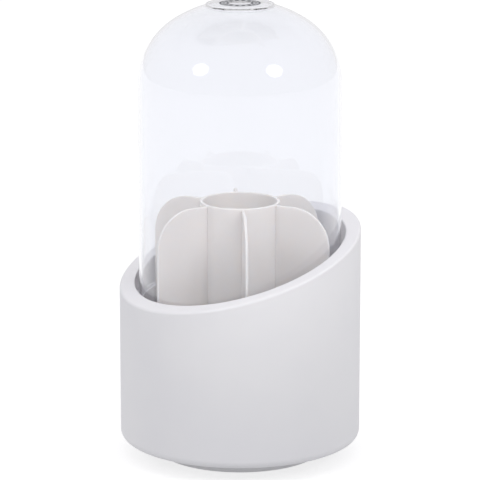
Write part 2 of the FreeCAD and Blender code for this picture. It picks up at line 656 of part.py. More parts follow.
def check_document(nodes):
    """Stop if any object failed or any sub-part has no valid shape."""
    for item in doc.Objects:
        if "Invalid" in item.State or "Error" in item.State:
            raise RuntimeError(f"{item.Name} did not recompute: {item.State}")
    for node in nodes:
        if node.Shape.isNull() or not node.Shape.isValid():
            raise RuntimeError(f"{node.Label} has no valid shape")


def main():
    """Build every sub-part, check them all and write one file each."""
    fill_sheet()
    nodes = [
        make_clear_cover(),
        make_divider(),
        make_inner_cup(),
        make_outer_casing(),
        make_bottom_plate(),
        make_plate_screws(),
        make_pivot_washer(),
        make_pivot_screw(),
        make_turntable_foot(),
        make_ball_cage(),
    ]
    nodes += make_foot_pads()
    nodes += make_balls()
    doc.recompute()
    check_document(nodes)
    os.makedirs("parts", exist_ok=True)
    for node in nodes:
        node.Shape.exportStep(os.path.join("parts", f"{node.Label}.step"))
        print(f"{node.Label}: {len(node.Shape.Solids)} solid(s), {node.Shape.Volume / 1000:.2f} cm3")


main()
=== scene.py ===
"""Turning holder for cosmetic brushes: mouldings, bearing and clear dust cover, dressed for close viewing.

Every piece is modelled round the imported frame, in metres, and rides on the body that carries its node.
Sizes in the classes are millimetres, and places come from the boxes of the frame's nodes.
"""
import logging
import math
from collections.abc import Callable, Sequence
from dataclasses import dataclass
from enum import Enum
from typing import Any

import bpy
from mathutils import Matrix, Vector


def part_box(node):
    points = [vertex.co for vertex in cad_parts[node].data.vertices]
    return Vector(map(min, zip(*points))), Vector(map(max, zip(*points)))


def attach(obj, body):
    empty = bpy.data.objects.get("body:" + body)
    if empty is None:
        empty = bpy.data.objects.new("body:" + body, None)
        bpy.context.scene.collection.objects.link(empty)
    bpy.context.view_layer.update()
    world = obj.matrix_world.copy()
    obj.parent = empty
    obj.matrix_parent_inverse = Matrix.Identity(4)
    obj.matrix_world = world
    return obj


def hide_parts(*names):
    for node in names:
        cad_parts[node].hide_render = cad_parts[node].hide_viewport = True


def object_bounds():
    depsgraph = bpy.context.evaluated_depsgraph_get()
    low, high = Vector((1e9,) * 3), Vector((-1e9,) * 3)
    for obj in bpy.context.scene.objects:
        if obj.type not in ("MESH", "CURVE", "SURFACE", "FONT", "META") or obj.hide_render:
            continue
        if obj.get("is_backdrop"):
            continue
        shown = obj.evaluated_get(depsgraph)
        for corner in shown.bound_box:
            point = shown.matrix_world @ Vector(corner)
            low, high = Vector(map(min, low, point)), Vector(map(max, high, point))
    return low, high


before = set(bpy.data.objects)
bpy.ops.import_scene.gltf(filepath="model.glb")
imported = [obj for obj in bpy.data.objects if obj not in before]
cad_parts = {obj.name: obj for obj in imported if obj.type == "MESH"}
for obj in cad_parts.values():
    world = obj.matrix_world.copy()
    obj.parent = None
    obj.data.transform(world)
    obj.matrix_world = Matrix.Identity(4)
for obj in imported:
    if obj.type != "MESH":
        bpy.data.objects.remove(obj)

log = logging.getLogger("brush_holder")

MM = 0.001
FULL_TURN = math.tau
# Distance within which two places count as one, and one within which a place is on a wall, in millimetres.
NEAR = 0.01
ON_WALL = 0.3
# How far a tool reaches past the faces that it cuts, or into the walls that it joins, in millimetres.
OVERREACH = 1.0

Point = tuple[float, float]
Place = tuple[float, float, float]
Test = Callable[[Vector], bool]


class Body(Enum):
    """Bodies of the frame that pieces ride on."""

    FOOT = "foot"
    CASING = "casing"
    CAGE = "cage"
    DIVIDER = "divider"
    COVER = "cover"


class Slot(Enum):
    """Material slots of the record."""

    COVER = "clear_cover"
    CASING = "white_casing"
    DIVIDER = "milky_divider"
    FOOT = "white_foot"
    CAGE = "natural_cage"
    BALL = "ball_steel"
    SCREW = "zinc_steel"
    PAD = "pad_rubber"


class Operation(Enum):
    """What a tool does to the piece that it is combined with."""

    ADD = "UNION"
    CUT = "DIFFERENCE"


# ----------------------------------------------------------------------------------------------------
# Nodes and finishes
# ----------------------------------------------------------------------------------------------------

# Sockets of a Mix node in colour mode, which share their names with its number sockets.
MIX_A, MIX_B, MIX_RESULT = 6, 7, 2
# Values between which most of a noise lies.
NOISE_LOW, NOISE_HIGH = 0.35, 0.65


def linear(colour: str) -> tuple[float, float, float, float]:
    """Turn an sRGB hex colour into a linear one.

    Args:
        colour: A hash and six hex digits.

    Returns:
        Linear red, green and blue with full alpha.
    """
    channels = [int(colour[i:i + 2], 16) / 255 for i in (1, 3, 5)]
    values = [c / 12.92 if c <= 0.04045 else ((c + 0.055) / 1.055) ** 2.4 for c in channels]
    return (values[0], values[1], values[2], 1.0)


def add_node(
    tree: bpy.types.NodeTree,
    kind: str,
    settings: dict[str | int, Any] | None = None,
    links: dict[str | int, bpy.types.NodeSocket] | None = None,
) -> bpy.types.Node:
    """Add a node with its settings and links.

    Args:
        tree: Node tree to add to.
        kind: Blender's identifier of the node.
        settings: Values by property name, or by name or number of an input socket.
        links: Sockets that feed the node's inputs, by name or number.

    Returns:
        The new node.
    """
    node = tree.nodes.new(kind)
    for key, value in (settings or {}).items():
        if isinstance(key, int) or key in node.inputs:
            node.inputs[key].default_value = value
        else:
            setattr(node, key, value)
    for key, socket in (links or {}).items():
        tree.links.new(socket, node.inputs[key])
    return node


def new_material(name: str) -> tuple[bpy.types.Material, bpy.types.NodeTree]:
    """Make an empty node material.

    Args:
        name: Name of the material.

    Returns:
        The material and its node tree.
    """
    material = bpy.data.materials.new(name)
    material.use_nodes = True
    material.node_tree.nodes.clear()
    return material, material.node_tree


def close_material(tree: bpy.types.NodeTree, shader: bpy.types.NodeSocket) -> None:
    """Feed the shader to the material's output."""
    add_node(tree, "ShaderNodeOutputMaterial", links={"Surface": shader})


def object_noise(tree: bpy.types.NodeTree, size: float, detail: float = 2.0) -> bpy.types.NodeSocket:
    """Add noise on the object's own coordinates.

    Args:
        tree: Node tree to add to.
        size: Width of one blotch in millimetres.
        detail: Octaves of finer noise.

    Returns:
        The noise's value socket.
    """
    place = add_node(tree, "ShaderNodeTexCoord").outputs["Object"]
    settings = {"Scale": 1.0 / (size * MM), "Detail": detail}
    return add_node(tree, "ShaderNodeTexNoise", settings, {"Vector": place}).outputs["Fac"]


def spread(
    tree: bpy.types.NodeTree, value: bpy.types.NodeSocket, low: float, high: float
) -> bpy.types.NodeSocket:
    """Map the middle of a noise's range to low and high.

    Args:
        tree: Node tree to add to.
        value: Noise socket.
        low: Result for the noise's darker blotches.
        high: Result for its lighter blotches.

    Returns:
        The mapped value's socket.
    """
    settings = {"From Min": NOISE_LOW, "From Max": NOISE_HIGH, "To Min": low, "To Max": high}
    return add_node(tree, "ShaderNodeMapRange", settings, {"Value": value}).outputs["Result"]


def drifting_colour(tree: bpy.types.NodeTree, first: str, second: str, size: float) -> bpy.types.NodeSocket:
    """Add a colour that drifts between two near ones.

    Args:
        tree: Node tree to add to.
        first: Hex colour of the darker blotches.
        second: Hex colour of the lighter ones.
        size: Width of one blotch in millimetres.

    Returns:
        The colour's socket.
    """
    factor = spread(tree, object_noise(tree, size), 0.0, 1.0)
    settings = {"data_type": "RGBA", MIX_A: linear(first), MIX_B: linear(second)}
    return add_node(tree, "ShaderNodeMix", settings, {"Factor": factor}).outputs[MIX_RESULT]


def grain_bump(tree: bpy.types.NodeTree, grain: bpy.types.NodeSocket, height: float) -> bpy.types.NodeSocket:
    """Turn a noise into bumps on the surface.

    Args:
        tree: Node tree to add to.
        grain: Noise socket.
        height: Height of the bumps in millimetres.

    Returns:
        The bumped normal's socket.
    """
    settings = {"Distance": height * MM, "Strength": 1.0}
    return add_node(tree, "ShaderNodeBump", settings, {"Height": grain}).outputs["Normal"]


@dataclass(frozen=True)
class MouldedPlastic:
    """Opaque or milky thermoplastic as it leaves the mould.

    The slow drift between two near colours is the flow of the melt, and the bump is the mould's grain. A real
    grain is about a tenth of a millimetre, too fine to show, so it is drawn a few times coarser.
    """

    name: str
    colour: str
    flow_colour: str
    roughness: float
    roughness_spread: float = 0.04
    ior: float = 1.53
    flow: float = 45.0
    grain: float = 0.5
    grain_height: float = 0.01
    milk: float = 0.0
    milk_depth: float = 1.5

    def material(self) -> bpy.types.Material:
        """Build the node material.

        Returns:
            The material.
        """
        material, tree = new_material(self.name)
        grain = object_noise(tree, self.grain, detail=3.0)
        settings = {
            "IOR": self.ior,
            "Subsurface Weight": self.milk,
            "Subsurface Radius": (1.0, 0.92, 0.85),
            "Subsurface Scale": self.milk_depth * MM,
        }
        links = {
            "Base Color": drifting_colour(tree, self.colour, self.flow_colour, self.flow),
            "Roughness": spread(
                tree, grain, self.roughness - self.roughness_spread, self.roughness + self.roughness_spread
            ),
            "Normal": grain_bump(tree, grain, self.grain_height),
        }
        shader = add_node(tree, "ShaderNodeBsdfPrincipled", settings, links)
        close_material(tree, shader.outputs["BSDF"])
        return material


@dataclass(frozen=True)
class ClearMoulding:
    """Water-clear styrene plastic, polished by its mould.

    It bends and mirrors light like thick glass with a faint cool cast. Lamp light and the light between
    pieces pass straight through it, less a little colour, so that what it covers is lit as under a thin
    shell. A ray that has been turned inside the wall more often than trap_depth is let out too, as it would
    leak from a real wall.
    """

    name: str
    colour: str
    passed_colour: str
    ior: float = 1.57
    roughness: float = 0.015
    wave: float = 30.0
    wave_height: float = 0.03
    trap_depth: float = 5.5

    def material(self) -> bpy.types.Material:
        """Build the node material.

        Returns:
            The material.
        """
        material, tree = new_material(self.name)
        wave = object_noise(tree, self.wave, detail=0.0)
        settings = {
            "Base Color": linear(self.colour),
            "IOR": self.ior,
            "Roughness": self.roughness,
            "Transmission Weight": 1.0,
        }
        solid = add_node(
            tree, "ShaderNodeBsdfPrincipled", settings, {"Normal": grain_bump(tree, wave, self.wave_height)}
        )
        passed = add_node(tree, "ShaderNodeBsdfTransparent", {"Color": linear(self.passed_colour)})
        path = add_node(tree, "ShaderNodeLightPath")
        lighting = add_node(
            tree,
            "ShaderNodeMath",
            {"operation": "MAXIMUM"},
            {0: path.outputs["Is Shadow Ray"], 1: path.outputs["Is Diffuse Ray"]},
        )
        trapped = add_node(
            tree,
            "ShaderNodeMath",
            {"operation": "GREATER_THAN", 1: self.trap_depth},
            {0: path.outputs["Ray Depth"]},
        )
        passing = add_node(
            tree, "ShaderNodeMath", {"operation": "MAXIMUM"}, {0: lighting.outputs[0], 1: trapped.outputs[0]}
        )
        mixed = add_node(
            tree,
            "ShaderNodeMixShader",
            links={0: passing.outputs[0], 1: solid.outputs["BSDF"], 2: passed.outputs["BSDF"]},
        )
        close_material(tree, mixed.outputs["Shader"])
        return material


@dataclass(frozen=True)
class PlatedMetal:
    """Steel with a polished or zinc-plated face; the blotches are the plating's crystal haze."""

    name: str
    colour: str
    haze_colour: str
    roughness: float
    roughness_share: float = 0.2
    haze: float = 1.5

    def material(self) -> bpy.types.Material:
        """Build the node material.

        Returns:
            The material.
        """
        material, tree = new_material(self.name)
        haze = object_noise(tree, self.haze, detail=4.0)
        links = {
            "Base Color": drifting_colour(tree, self.colour, self.haze_colour, self.haze),
            "Roughness": spread(
                tree,
                haze,
                self.roughness * (1.0 - self.roughness_share),
                self.roughness * (1.0 + self.roughness_share),
            ),
        }
        shader = add_node(tree, "ShaderNodeBsdfPrincipled", {"Metallic": 1.0}, links)
        close_material(tree, shader.outputs["BSDF"])
        return material


# ABS, spark-eroded mould: an even matt white with the faintest cool cast.
CASING_ABS = MouldedPlastic("abs_matt_white", "#E8E8EB", "#E5E5E9", roughness=0.58)
# ABS, finer mould for the foot and plate: the same white, a little smoother.
FOOT_ABS = MouldedPlastic("abs_satin_white", "#E6E6E8", "#E3E3E6", roughness=0.42, grain_height=0.006)
# Polypropylene, plain mould: a milky satin white that lets light seep through its thin walls.
DIVIDER_PP = MouldedPlastic(
    "polypropylene_milky",
    "#E6E3E1",
    "#E2DFDD",
    roughness=0.36,
    ior=1.49,
    grain_height=0.005,
    milk=1.0,
    milk_depth=2.5,
)
# Acetal, natural: an ivory white with a waxy gloss.
CAGE_ACETAL = MouldedPlastic(
    "acetal_natural", "#E6E2D6", "#E0DCCF", roughness=0.3, ior=1.48, grain_height=0.004, milk=0.2
)
# Styrene, polished mould: water clear with a faint cool cast.
COVER_STYRENE = ClearMoulding("polystyrene_clear", "#F6F7FA", "#FCFCFD")
# Pad-printed ink: a thin matt grey film.
MARK_INK = MouldedPlastic(
    "ink_printed_grey", "#4E5056", "#5A5C62", roughness=0.5, grain=0.3, grain_height=0.004
)
# Bearing steel, ground and polished: a bright mirror.
BALL_STEEL = PlatedMetal("steel_polished", "#C9CBCE", "#C2C4C8", roughness=0.08)
# Carbon steel, zinc-plated: a bluish grey with a crystal haze.
SCREW_ZINC = PlatedMetal("steel_zinc_plated", "#B4B9BF", "#A5ABB3", roughness=0.3)
# Thermoplastic rubber, moulded: pale grey and dull, with a coarse grain for grip.
PAD_RUBBER = MouldedPlastic(
    "rubber_pale_grey", "#B9BABD", "#B0B1B5", roughness=0.82, ior=1.5, grain=0.6, grain_height=0.03
)


# ----------------------------------------------------------------------------------------------------
# Modelling
# ----------------------------------------------------------------------------------------------------


@dataclass(frozen=True)
class Span:
    """Where a node of the frame lies: its reach from the Z axis and its levels, in millimetres."""

    reach: float
    bottom: float
    top: float

    @classmethod
    def of(cls, node: str) -> "Span":
        """Read a node's box.

        Args:
            node: Name of the node.

        Returns:
            Its span.
        """
        low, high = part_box(node)
        return cls(reach=high.x / MM, bottom=low.z / MM, top=high.z / MM)


def metres(x: float, y: float, z: float) -> Vector:
    """Turn millimetres into a vector in metres."""
    return Vector((x, y, z)) * MM


def clear_selection() -> None:
    """Leave edit mode and deselect every object."""
    if bpy.context.object and bpy.context.object.mode != "OBJECT":
        bpy.ops.object.mode_set(mode="OBJECT")
    bpy.ops.object.select_all(action="DESELECT")


def pick(piece: bpy.types.Object) -> None:
    """Make a piece the only selected object and the active one.

    Args:
        piece: Piece to pick.
    """
    clear_selection()
    piece.select_set(True)
    bpy.context.view_layer.objects.active = piece


def start_piece(name: str) -> bpy.types.Object:
    """Name the primitive that was just added and put its place into its mesh.

    Args:
        name: Name of the new piece.

    Returns:
        The piece.
    """
    piece = bpy.context.object
    piece.name = piece.data.name = name
    bpy.ops.object.transform_apply(location=True, rotation=True, scale=True)
    return piece


def settle(piece: bpy.types.Object, location: Vector, angle: float = 0.0) -> None:
    """Move a piece, turn it about the Z axis and put both into its mesh.

    Args:
        piece: Piece whose origin is the world's.
        location: New place in metres.
        angle: Turn in radians.
    """
    pick(piece)
    piece.location = location
    piece.rotation_euler = (0.0, 0.0, angle)
    bpy.ops.object.transform_apply(location=True, rotation=True, scale=True)


def duplicate(piece: bpy.types.Object) -> bpy.types.Object:
    """Copy a piece with a mesh of its own.

    Args:
        piece: Piece to copy.

    Returns:
        The copy.
    """
    pick(piece)
    bpy.ops.object.duplicate(linked=False)
    return bpy.context.object


def arc(centre: Point, radius: float, start: float, end: float, steps: int) -> list[Point]:
    """Points along an arc of a profile.

    Args:
        centre: Centre of the arc, (across, up).
        radius: Radius of the arc.
        start: Angle of the first point in degrees.
        end: Angle of the last point in degrees.
        steps: Number of straight pieces.

    Returns:
        The points from start to end, both included.
    """
    angles = [math.radians(start + (end - start) * i / steps) for i in range(steps + 1)]
    return [(centre[0] + radius * math.cos(a), centre[1] + radius * math.sin(a)) for a in angles]


def turned(name: str, profile: Sequence[Point], steps: int = 192, closed: bool = True) -> bpy.types.Object:
    """Turn a profile about the Z axis.

    Args:
        name: Name of the new piece.
        profile: Points (distance from the axis, height) in millimetres.
        steps: Pieces in a full turn.
        closed: Whether the last point joins the first, unless both lie on the axis.

    Returns:
        The turned piece.
    """
    closed = closed and max(profile[0][0], profile[-1][0]) > 0.0
    clear_selection()
    bpy.ops.mesh.primitive_plane_add(size=MM, location=metres(profile[0][0], 0.0, profile[0][1]))
    piece = start_piece(name)
    bpy.ops.object.mode_set(mode="EDIT")
    bpy.ops.mesh.select_mode(type="VERT")
    bpy.ops.mesh.select_all(action="SELECT")
    bpy.ops.mesh.merge(type="CENTER")
    route = list(profile) + ([profile[0]] if closed else [])
    for here, there in zip(route, route[1:]):
        step = metres(there[0] - here[0], 0.0, there[1] - here[1])
        bpy.ops.mesh.extrude_vertices_move(TRANSFORM_OT_translate={"value": step})
    bpy.ops.mesh.select_all(action="SELECT")
    bpy.ops.mesh.remove_doubles(threshold=MM * 1e-3)
    bpy.ops.mesh.select_all(action="SELECT")
    bpy.ops.mesh.spin(steps=steps, angle=FULL_TURN, center=(0.0, 0.0, 0.0), axis=(0.0, 0.0, 1.0))
    tidy_mesh()
    return piece


def tidy_mesh() -> None:
    """Merge doubles, turn the normals outwards and leave edit mode."""
    bpy.ops.mesh.select_all(action="SELECT")
    bpy.ops.mesh.remove_doubles(threshold=MM * 1e-3)
    bpy.ops.mesh.normals_make_consistent(inside=False)
    bpy.ops.object.mode_set(mode="OBJECT")


def block(name: str, low: Place, high: Place) -> bpy.types.Object:
    """Add a box.

    Args:
        name: Name of the new piece.
        low: Its lowest corner in millimetres.
        high: Its highest corner in millimetres.

    Returns:
        The box.
    """
    clear_selection()
    middle = (metres(*low) + metres(*high)) / 2
    bpy.ops.mesh.primitive_cube_add(size=1.0, location=middle, scale=metres(*high) - metres(*low))
    return start_piece(name)


def rod(
    name: str, radius: float, middle: Point, bottom: float, top: float, sides: int = 64
) -> bpy.types.Object:
    """Add an upright cylinder, with sizes in millimetres.

    Args:
        name: Name of the new piece.
        radius: Radius of the cylinder.
        middle: Place of its axis, (x, y).
        bottom: Level of its lower face.
        top: Level of its upper face.
        sides: Number of its sides.

    Returns:
        The cylinder.
    """
    clear_selection()
    place = metres(middle[0], middle[1], (bottom + top) / 2)
    bpy.ops.mesh.primitive_cylinder_add(
        vertices=sides, radius=radius * MM, depth=(top - bottom) * MM, location=place
    )
    return start_piece(name)


def choose_edges(piece: bpy.types.Object, test: Test) -> int:
    """Select the edges whose two ends pass a test and enter edit mode.

    Args:
        piece: Piece to edit.
        test: Says for a vertex's place in millimetres whether it belongs.

    Returns:
        How many edges were selected.
    """
    pick(piece)
    bpy.ops.object.mode_set(mode="EDIT")
    bpy.ops.mesh.select_mode(type="EDGE")
    bpy.ops.mesh.select_all(action="DESELECT")
    bpy.ops.object.mode_set(mode="OBJECT")
    wanted = [test(vertex.co / MM) for vertex in piece.data.vertices]
    for edge in piece.data.edges:
        edge.select = all(wanted[i] for i in edge.vertices)
    bpy.ops.object.mode_set(mode="EDIT")
    return sum(edge.select for edge in piece.data.edges)


def choose_faces(piece: bpy.types.Object, test: Test) -> None:
    """Select the faces whose middle passes a test and enter edit mode.

    Args:
        piece: Piece to edit.
        test: Says for a place in millimetres whether it belongs.
    """
    pick(piece)
    bpy.ops.object.mode_set(mode="EDIT")
    bpy.ops.mesh.select_mode(type="FACE")
    bpy.ops.mesh.select_all(action="DESELECT")
    bpy.ops.object.mode_set(mode="OBJECT")
    for face in piece.data.polygons:
        face.select = test(face.center / MM)
    bpy.ops.object.mode_set(mode="EDIT")


def apply_modifier(piece: bpy.types.Object, kind: str, **settings: Any) -> None:
    """Add a modifier and apply it.

    Args:
        piece: Piece to change.
        kind: Blender's identifier of the modifier.
        settings: Its settings by name.
    """
    pick(piece)
    modifier = piece.modifiers.new(kind.title(), kind)
    for key, value in settings.items():
        setattr(modifier, key, value)
    bpy.ops.object.modifier_apply(modifier=modifier.name)


def combine(piece: bpy.types.Object, tools: Sequence[bpy.types.Object], operation: Operation) -> None:
    """Add tools to a piece or cut them from it, and remove them.

    Args:
        piece: Piece that stays.
        tools: Closed pieces that are used up.
        operation: What the tools do to the piece.
    """
    for tool in tools:
        apply_modifier(piece, "BOOLEAN", object=tool, operation=operation.value, solver="EXACT")
        bpy.data.objects.remove(tool)


def join(piece: bpy.types.Object, others: Sequence[bpy.types.Object]) -> None:
    """Join other pieces into a first one.

    Args:
        piece: Piece that stays.
        others: Pieces that are used up.
    """
    pick(piece)
    for other in others:
        other.select_set(True)
    bpy.ops.object.join()


def turned_copies(piece: bpy.types.Object, count: int) -> list[bpy.types.Object]:
    """Copy a piece round the Z axis, so that count of them stand in a full turn.

    Args:
        piece: First piece, which stays.
        count: Pieces in a full turn.

    Returns:
        The piece and its copies.
    """
    copies = [duplicate(piece) for _ in range(1, count)]
    for index, copy in enumerate(copies, start=1):
        settle(copy, Vector(), FULL_TURN * index / count)
    return [piece, *copies]


def soften(piece: bpy.types.Object, width: float, segments: int = 3, angle: float = 35.0) -> None:
    """Round every edge sharper than an angle.

    Args:
        piece: Piece to round.
        width: Width of the rounding in millimetres.
        segments: Faces across the rounding.
        angle: Least angle between two faces, in degrees.
    """
    apply_modifier(
        piece,
        "BEVEL",
        width=width * MM,
        segments=segments,
        limit_method="ANGLE",
        angle_limit=math.radians(angle),
        use_clamp_overlap=True,
    )


def polish(piece: bpy.types.Object, angle: float = 32.0) -> None:
    """Shade a piece smooth, with the large faces' normals leading.

    Args:
        piece: Piece to shade.
        angle: Angle between two faces, in degrees, past which their edge stays sharp.
    """
    pick(piece)
    bpy.ops.object.shade_smooth_by_angle(angle=math.radians(angle), keep_sharp_edges=False)
    apply_modifier(piece, "WEIGHTED_NORMAL", keep_sharp=True, weight=50)


def finish_piece(
    piece: bpy.types.Object, material: bpy.types.Material, body: Body | str, slot: Slot | None, *nodes: str
) -> None:
    """Dress a piece, put it on its body and hide the nodes that it replaces.

    Args:
        piece: Finished mesh.
        material: Its material.
        body: Body of the frame that carries it.
        slot: Material slot of the record, if it has one for this finish; not used.
        nodes: Nodes of the frame that the piece replaces.
    """
    piece.data.materials.clear()
    piece.data.materials.append(material)
    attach(piece, body.value if isinstance(body, Body) else body)
    if nodes:
        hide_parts(*nodes)
    log.info("%s: %d faces", piece.name, len(piece.data.polygons))


# ----------------------------------------------------------------------------------------------------
# Sub-assemblies
# ----------------------------------------------------------------------------------------------------


@dataclass
class Bearing:
    """Ball track sizes shared by the foot, the bottom plate and the cage, in millimetres."""

    ball_radius: float = 2.5
    ball_gap: float = 0.2
    track_inset: float = 9.0
    track_land: float = 1.5
    track_drop: float = 1.0
    cage_margin: float = 1.2
    pocket_gap: float = 0.25
    cage_round: float = 0.15
    count: int = 12

    def __post_init__(self) -> None:
        """Take the track's circle from the foot and its level from a ball."""
        low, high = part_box("ball_1")
        self.level = (low.z + high.z) / 2 / MM
        self.track_radius = Span.of("turntable_foot").reach - self.track_inset

    def groove(self, face: float, from_outside: bool) -> list[Point]:
        """The groove's profile where it meets a face at a level.

        Args:
            face: Level of the face that the groove is cut into.
            from_outside: Whether the profile runs inwards.

        Returns:
            The points of the arc below or above the face.
        """
        radius = self.ball_radius + self.ball_gap
        tilt = math.degrees(math.asin((face - self.level) / radius))
        half_turn = 180.0 if face > self.level else -180.0
        points = arc((self.track_radius, self.level), radius, tilt, half_turn - tilt, steps=20)
        return points if from_outside else points[::-1]

    def cage(self) -> None:
        """Make the cage, a flat ring with a pocket for each ball."""
        span = Span.of("ball_cage")
        reach = self.ball_radius + self.cage_margin
        inner, outer = self.track_radius - reach, self.track_radius + reach
        cage = turned(
            "cage_ring", [(inner, span.bottom), (outer, span.bottom), (outer, span.top), (inner, span.top)]
        )
        angle = math.pi / self.count
        middle = (self.track_radius * math.cos(angle), self.track_radius * math.sin(angle))
        bottom, top = span.bottom - OVERREACH, span.top + OVERREACH
        pocket = rod("pocket", self.ball_radius + self.pocket_gap, middle, bottom, top, sides=48)
        combine(cage, turned_copies(pocket, self.count), Operation.CUT)
        soften(cage, self.cage_round, segments=2)
        polish(cage)
        finish_piece(cage, CAGE_ACETAL.material(), Body.CAGE, Slot.CAGE, "ball_cage")

    def balls(self) -> None:
        """Make one ball, copy it, and put each copy where its node lies."""
        steel = BALL_STEEL.material()
        half_circle = arc((0.0, 0.0), self.ball_radius, -90.0, 90.0, steps=18)
        ball = turned("ball", half_circle, steps=36, closed=False)
        pieces = [ball] + [duplicate(ball) for _ in range(1, self.count)]
        for number, piece in enumerate(pieces, start=1):
            node = f"ball_{number}"
            low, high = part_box(node)
            piece.name = piece.data.name = f"bearing_ball_{number:02d}"
            settle(piece, (low + high) / 2)
            bpy.ops.object.shade_smooth()
            finish_piece(piece, steel, node, Slot.BALL, node)

    def build(self) -> None:
        """Make the cage and the balls."""
        self.cage()
        self.balls()


@dataclass
class Foot:
    """Round foot with a wall, a ball track, a bored hub with ribs, and rubber pads, in millimetres."""

    bearing: Bearing
    wall: float = 2.2
    floor: float = 2.2
    bottom_round: float = 1.0
    bore_radius: float = 5.08
    hub_radius: float = 14.0
    recess_radius: float = 11.0
    recess_height: float = 3.0
    rib_count: int = 6
    rib_thickness: float = 1.6
    rib_drop: float = 0.02
    edge_round: float = 0.2
    pad_count: int = 4
    pad_recess: float = 0.8
    pad_gap: float = 0.1
    pad_round: float = 0.35

    def profile(self) -> list[Point]:
        """The foot's section from the bore outwards and back.

        Returns:
            Points (distance from the axis, height).
        """
        span = Span.of("turntable_foot")
        track_top = self.bearing.level - self.bearing.track_drop
        land = self.bearing.ball_radius + self.bearing.track_land
        inner, outer = self.bearing.track_radius - land, self.bearing.track_radius + land
        floor_top = span.bottom + self.floor
        rounded = self.bottom_round
        return [
            (self.bore_radius, span.bottom + self.recess_height),
            (self.recess_radius, span.bottom + self.recess_height),
            (self.recess_radius, span.bottom),
            *arc((span.reach - rounded, span.bottom + rounded), rounded, -90.0, 0.0, steps=6),
            (span.reach, span.top),
            (span.reach - self.wall, span.top),
            (span.reach - self.wall, floor_top),
            (outer, floor_top),
            (outer, track_top),
            *self.bearing.groove(track_top, from_outside=True),
            (inner, track_top),
            (inner, floor_top),
            (self.hub_radius, floor_top),
            (self.hub_radius, span.top),
            (self.bore_radius, span.top),
        ]

    def moulding(self, pad_radius: float, pad_middle: Point) -> None:
        """Make the foot itself, with its ribs and a recess for each pad.

        Args:
            pad_radius: Radius of a pad.
            pad_middle: Place of the first pad's axis.
        """
        span = Span.of("turntable_foot")
        track_top = self.bearing.level - self.bearing.track_drop
        track_inside = self.bearing.track_radius - self.bearing.ball_radius - self.bearing.track_land
        foot = turned("foot_moulding", self.profile())
        half = self.rib_thickness / 2
        rib = block(
            "rib",
            (self.hub_radius - OVERREACH, -half, span.bottom + self.floor / 2),
            (track_inside + OVERREACH, half, track_top - self.rib_drop),
        )
        combine(foot, turned_copies(rib, self.rib_count), Operation.ADD)
        recess_top = span.bottom + self.pad_recess
        recess = rod("recess", pad_radius + self.pad_gap, pad_middle, span.bottom - OVERREACH, recess_top)
        combine(foot, turned_copies(recess, self.pad_count), Operation.CUT)
        soften(foot, self.edge_round, segments=2)
        polish(foot)
        finish_piece(foot, FOOT_ABS.material(), Body.FOOT, Slot.FOOT, "turntable_foot")

    def pads(self, pad_radius: float, pad_middle: Point) -> None:
        """Make the pads.

        Args:
            pad_radius: Radius of a pad.
            pad_middle: Place of the first pad's axis.
        """
        span = Span.of("foot_pad_1")
        rubber = PAD_RUBBER.material()
        rounded = self.pad_round
        pad = turned(
            "pad_1",
            [
                (0.0, span.bottom),
                *arc((pad_radius - rounded, span.bottom + rounded), rounded, -90.0, 0.0, steps=5),
                (pad_radius, span.top),
                (0.0, span.top),
            ],
            steps=64,
        )
        settle(pad, metres(*pad_middle, 0.0))
        for index, piece in enumerate(turned_copies(pad, self.pad_count), start=1):
            piece.name = piece.data.name = f"pad_{index}"
            polish(piece)
            finish_piece(piece, rubber, Body.FOOT, Slot.PAD, f"foot_pad_{index}")

    def build(self) -> None:
        """Make the foot and its pads."""
        low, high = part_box("foot_pad_1")
        radius = (high.x - low.x) / 2 / MM
        middle = ((low.x + high.x) / 2 / MM, (low.y + high.y) / 2 / MM)
        self.moulding(radius, middle)
        self.pads(radius, middle)


